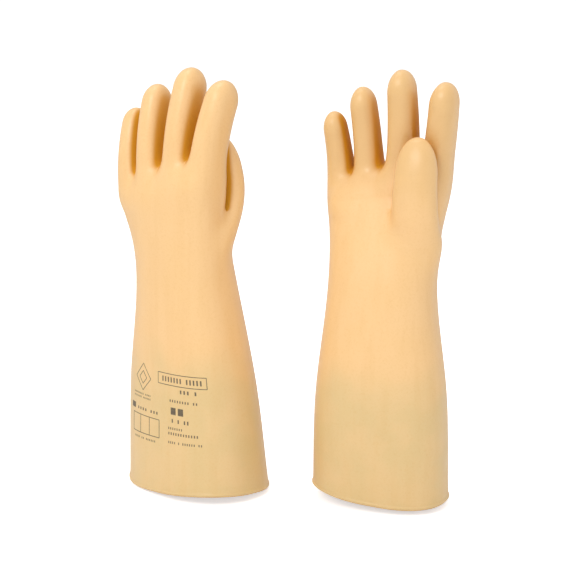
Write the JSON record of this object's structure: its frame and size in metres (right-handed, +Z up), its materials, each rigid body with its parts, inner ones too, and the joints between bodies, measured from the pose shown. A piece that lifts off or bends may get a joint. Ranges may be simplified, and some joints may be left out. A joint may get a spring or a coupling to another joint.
{
  "type": "electrical insulating gloves",
  "caption": "Pair of long natural-rubber electrical insulating gloves standing on their open cuffs, with bending wrists, fingers and thumbs.",
  "frame": {"origin": "centre of the bounding box's bottom face, on the plane that both cuff rims stand on", "axes": "+Z up from the cuffs to the fingertips; +X from the left-hand glove to the right-hand glove; -Y towards a viewer who sees the back of the left-hand glove and the palm of the right-hand glove"},
  "size_m": [0.3192, 0.1728, 0.4032],
  "materials": {
    "natural_latex": "satin, slightly translucent dipped latex, peach-tan at the hand and more olive towards the cuff"
  },
  "bodies": {
    "left_gauntlet": {"left_gauntlet": "natural_latex"},
    "left_hand": {"left_hand": "natural_latex"},
    "left_index_finger_base": {"left_index_finger_base": "natural_latex"},
    "left_index_finger_mid": {"left_index_finger_mid": "natural_latex"},
    "left_index_finger_tip": {"left_index_finger_tip": "natural_latex"},
    "left_middle_finger_base": {"left_middle_finger_base": "natural_latex"},
    "left_middle_finger_mid": {"left_middle_finger_mid": "natural_latex"},
    "left_middle_finger_tip": {"left_middle_finger_tip": "natural_latex"},
    "left_ring_finger_base": {"left_ring_finger_base": "natural_latex"},
    "left_ring_finger_mid": {"left_ring_finger_mid": "natural_latex"},
    "left_ring_finger_tip": {"left_ring_finger_tip": "natural_latex"},
    "left_little_finger_base": {"left_little_finger_base": "natural_latex"},
    "left_little_finger_mid": {"left_little_finger_mid": "natural_latex"},
    "left_little_finger_tip": {"left_little_finger_tip": "natural_latex"},
    "left_thumb_base": {"left_thumb_base": "natural_latex"},
    "left_thumb_tip": {"left_thumb_tip": "natural_latex"},
    "right_gauntlet": {"right_gauntlet": "natural_latex"},
    "right_hand": {"right_hand": "natural_latex"},
    "right_index_finger_base": {"right_index_finger_base": "natural_latex"},
    "right_index_finger_mid": {"right_index_finger_mid": "natural_latex"},
    "right_index_finger_tip": {"right_index_finger_tip": "natural_latex"},
    "right_middle_finger_base": {"right_middle_finger_base": "natural_latex"},
    "right_middle_finger_mid": {"right_middle_finger_mid": "natural_latex"},
    "right_middle_finger_tip": {"right_middle_finger_tip": "natural_latex"},
    "right_ring_finger_base": {"right_ring_finger_base": "natural_latex"},
    "right_ring_finger_mid": {"right_ring_finger_mid": "natural_latex"},
    "right_ring_finger_tip": {"right_ring_finger_tip": "natural_latex"},
    "right_little_finger_base": {"right_little_finger_base": "natural_latex"},
    "right_little_finger_mid": {"right_little_finger_mid": "natural_latex"},
    "right_little_finger_tip": {"right_little_finger_tip": "natural_latex"},
    "right_thumb_base": {"right_thumb_base": "natural_latex"},
    "right_thumb_tip": {"right_thumb_tip": "natural_latex"}
  },
  "joints": [
    {"name": "right_glove_lift", "type": "slide", "parent": "left_gauntlet", "child": "right_gauntlet", "axis": [0, 0, 1], "range_m": [0, 0.45]},
    {"name": "left_wrist", "type": "hinge", "parent": "left_gauntlet", "child": "left_hand", "pos_m": [-0.09656, 0.01361, 0.205], "axis": [-0.7314, 0.682, 0], "range_deg": [-20, 30], "stiffness_Nm_per_rad": 6},
    {"name": "left_index_root", "type": "hinge", "parent": "left_hand", "child": "left_index_finger_base", "pos_m": [-0.06516, -0.02506, 0.33036], "axis": [-0.7233, 0.6745, 0.1478], "range_deg": [0, 18], "stiffness_Nm_per_rad": 0.4},
    {"name": "left_index_mid", "type": "hinge", "parent": "left_index_finger_base", "child": "left_index_finger_mid", "pos_m": [-0.06035, -0.02517, 0.35439], "axis": [-0.7233, 0.6745, 0.1478], "range_deg": [0, 55], "stiffness_Nm_per_rad": 0.3},
    {"name": "left_index_tip", "type": "hinge", "parent": "left_index_finger_mid", "child": "left_index_finger_tip", "pos_m": [-0.05549, -0.0239, 0.37235], "axis": [-0.7233, 0.6745, 0.1478], "range_deg": [0, 27.5], "stiffness_Nm_per_rad": 0.1},
    {"name": "left_middle_root", "type": "hinge", "parent": "left_hand", "child": "left_middle_finger_base", "pos_m": [-0.09176, -0.00246, 0.33268], "axis": [-0.7312, 0.6818, 0.0227], "range_deg": [0, 40], "stiffness_Nm_per_rad": 0.4},
    {"name": "left_middle_mid", "type": "hinge", "parent": "left_middle_finger_base", "child": "left_middle_finger_mid", "pos_m": [-0.08926, -0.00068, 0.36], "axis": [-0.7312, 0.6818, 0.0227], "range_deg": [0, 55], "stiffness_Nm_per_rad": 0.3},
    {"name": "left_middle_tip", "type": "hinge", "parent": "left_middle_finger_mid", "child": "left_middle_finger_tip", "pos_m": [-0.0858, 0.00232, 0.38116], "axis": [-0.7312, 0.6818, 0.0227], "range_deg": [0, 27.5], "stiffness_Nm_per_rad": 0.1},
    {"name": "left_ring_root", "type": "hinge", "parent": "left_hand", "child": "left_ring_finger_base", "pos_m": [-0.12184, 0.01858, 0.32571], "axis": [-0.7304, 0.6811, -0.0523], "range_deg": [0, 45], "stiffness_Nm_per_rad": 0.4},
    {"name": "left_ring_mid", "type": "hinge", "parent": "left_ring_finger_base", "child": "left_ring_finger_mid", "pos_m": [-0.12081, 0.02155, 0.35001], "axis": [-0.7304, 0.6811, -0.0523], "range_deg": [0, 55], "stiffness_Nm_per_rad": 0.3},
    {"name": "left_ring_tip", "type": "hinge", "parent": "left_ring_finger_mid", "child": "left_ring_finger_tip", "pos_m": [-0.11871, 0.02516, 0.36768], "axis": [-0.7304, 0.6811, -0.0523], "range_deg": [0, 27.5], "stiffness_Nm_per_rad": 0.1},
    {"name": "left_little_root", "type": "hinge", "parent": "left_hand", "child": "left_little_finger_base", "pos_m": [-0.14219, 0.03679, 0.31415], "axis": [-0.729, 0.6798, -0.0802], "range_deg": [0, 45], "stiffness_Nm_per_rad": 0.4},
    {"name": "left_little_mid", "type": "hinge", "parent": "left_little_finger_base", "child": "left_little_finger_mid", "pos_m": [-0.14174, 0.03955, 0.33347], "axis": [-0.729, 0.6798, -0.0802], "range_deg": [0, 55], "stiffness_Nm_per_rad": 0.3},
    {"name": "left_little_tip", "type": "hinge", "parent": "left_little_finger_mid", "child": "left_little_finger_tip", "pos_m": [-0.14032, 0.04276, 0.34773], "axis": [-0.729, 0.6798, -0.0802], "range_deg": [0, 27.5], "stiffness_Nm_per_rad": 0.1},
    {"name": "left_thumb_root", "type": "hinge", "parent": "left_hand", "child": "left_thumb_base", "pos_m": [-0.05351, 0.00362, 0.28433], "axis": [0.1849, 0.9551, -0.2317], "range_deg": [0, 38], "stiffness_Nm_per_rad": 0.4},
    {"name": "left_thumb_tip", "type": "hinge", "parent": "left_thumb_base", "child": "left_thumb_tip", "pos_m": [-0.05075, 0.00635, 0.30895], "axis": [-0.8947, -0.4464, 0.0151], "range_deg": [0, 35], "stiffness_Nm_per_rad": 0.1},
    {"name": "right_wrist", "type": "hinge", "parent": "right_gauntlet", "child": "right_hand", "pos_m": [0.09357, -0.03036, 0.205], "axis": [0.9205, -0.3907, 0], "range_deg": [-20, 30], "stiffness_Nm_per_rad": 6},
    {"name": "right_index_root", "type": "hinge", "parent": "right_hand", "child": "right_index_finger_base", "pos_m": [0.14167, -0.04332, 0.33036], "axis": [0.9104, -0.3864, -0.1478], "range_deg": [0, 18], "stiffness_Nm_per_rad": 0.4},
    {"name": "right_index_mid", "type": "hinge", "parent": "right_index_finger_base", "child": "right_index_finger_mid", "pos_m": [0.14373, -0.04767, 0.35439], "axis": [0.9104, -0.3864, -0.1478], "range_deg": [0, 55], "stiffness_Nm_per_rad": 0.3},
    {"name": "right_index_tip", "type": "hinge", "parent": "right_index_finger_mid", "child": "right_index_finger_tip", "pos_m": [0.14454, -0.05262, 0.37235], "axis": [0.9104, -0.3864, -0.1478], "range_deg": [0, 27.5], "stiffness_Nm_per_rad": 0.1},
    {"name": "right_middle_root", "type": "hinge", "parent": "right_hand", "child": "right_middle_finger_base", "pos_m": [0.11021, -0.02821, 0.33268], "axis": [0.9203, -0.3906, -0.0227], "range_deg": [0, 40], "stiffness_Nm_per_rad": 0.4},
    {"name": "right_middle_mid", "type": "hinge", "parent": "right_middle_finger_base", "child": "right_middle_finger_mid", "pos_m": [0.1096, -0.03122, 0.36], "axis": [0.9203, -0.3906, -0.0227], "range_deg": [0, 55], "stiffness_Nm_per_rad": 0.3},
    {"name": "right_middle_tip", "type": "hinge", "parent": "right_middle_finger_mid", "child": "right_middle_finger_tip", "pos_m": [0.10827, -0.0356, 0.38116], "axis": [0.9203, -0.3906, -0.0227], "range_deg": [0, 27.5], "stiffness_Nm_per_rad": 0.1},
    {"name": "right_ring_root", "type": "hinge", "parent": "right_hand", "child": "right_ring_finger_base", "pos_m": [0.07875, -0.00929, 0.32571], "axis": [0.9192, -0.3902, 0.0523], "range_deg": [0, 45], "stiffness_Nm_per_rad": 0.4},
    {"name": "right_ring_mid", "type": "hinge", "parent": "right_ring_finger_base", "child": "right_ring_finger_mid", "pos_m": [0.07646, -0.01144, 0.35001], "axis": [0.9192, -0.3902, 0.0523], "range_deg": [0, 55], "stiffness_Nm_per_rad": 0.3},
    {"name": "right_ring_tip", "type": "hinge", "parent": "right_ring_finger_mid", "child": "right_ring_finger_tip", "pos_m": [0.07401, -0.01482, 0.36768], "axis": [0.9192, -0.3902, 0.0523], "range_deg": [0, 27.5], "stiffness_Nm_per_rad": 0.1},
    {"name": "right_little_root", "type": "hinge", "parent": "right_hand", "child": "right_little_finger_base", "pos_m": [0.05384, 0.0019, 0.31415], "axis": [0.9175, -0.3895, 0.0802], "range_deg": [0, 45], "stiffness_Nm_per_rad": 0.4},
    {"name": "right_little_mid", "type": "hinge", "parent": "right_little_finger_base", "child": "right_little_finger_mid", "pos_m": [0.0515, 0.00036, 0.33347], "axis": [0.9175, -0.3895, 0.0802], "range_deg": [0, 55], "stiffness_Nm_per_rad": 0.3},
    {"name": "right_little_tip", "type": "hinge", "parent": "right_little_finger_mid", "child": "right_little_finger_tip", "pos_m": [0.04915, -0.00225, 0.34773], "axis": [0.9175, -0.3895, 0.0802], "range_deg": [0, 27.5], "stiffness_Nm_per_rad": 0.1},
    {"name": "right_thumb_root", "type": "hinge", "parent": "right_hand", "child": "right_thumb_base", "pos_m": [0.12021, -0.06562, 0.28433], "axis": [0.7973, 0.5573, 0.2317], "range_deg": [0, 38], "stiffness_Nm_per_rad": 0.4},
    {"name": "right_thumb_tip", "type": "hinge", "parent": "right_thumb_base", "child": "right_thumb_tip", "pos_m": [0.11883, -0.06926, 0.30895], "axis": [-0.0439, -0.9989, -0.0151], "range_deg": [0, 35], "stiffness_Nm_per_rad": 0.1}
  ],
  "couplings": [
    {"joint": "left_index_tip", "follows": "left_index_mid", "ratio": 0.5},
    {"joint": "left_middle_tip", "follows": "left_middle_mid", "ratio": 0.5},
    {"joint": "left_ring_tip", "follows": "left_ring_mid", "ratio": 0.5},
    {"joint": "left_little_tip", "follows": "left_little_mid", "ratio": 0.5},
    {"joint": "right_index_tip", "follows": "right_index_mid", "ratio": 0.5},
    {"joint": "right_middle_tip", "follows": "right_middle_mid", "ratio": 0.5},
    {"joint": "right_ring_tip", "follows": "right_ring_mid", "ratio": 0.5},
    {"joint": "right_little_tip", "follows": "right_little_mid", "ratio": 0.5}
  ]
}
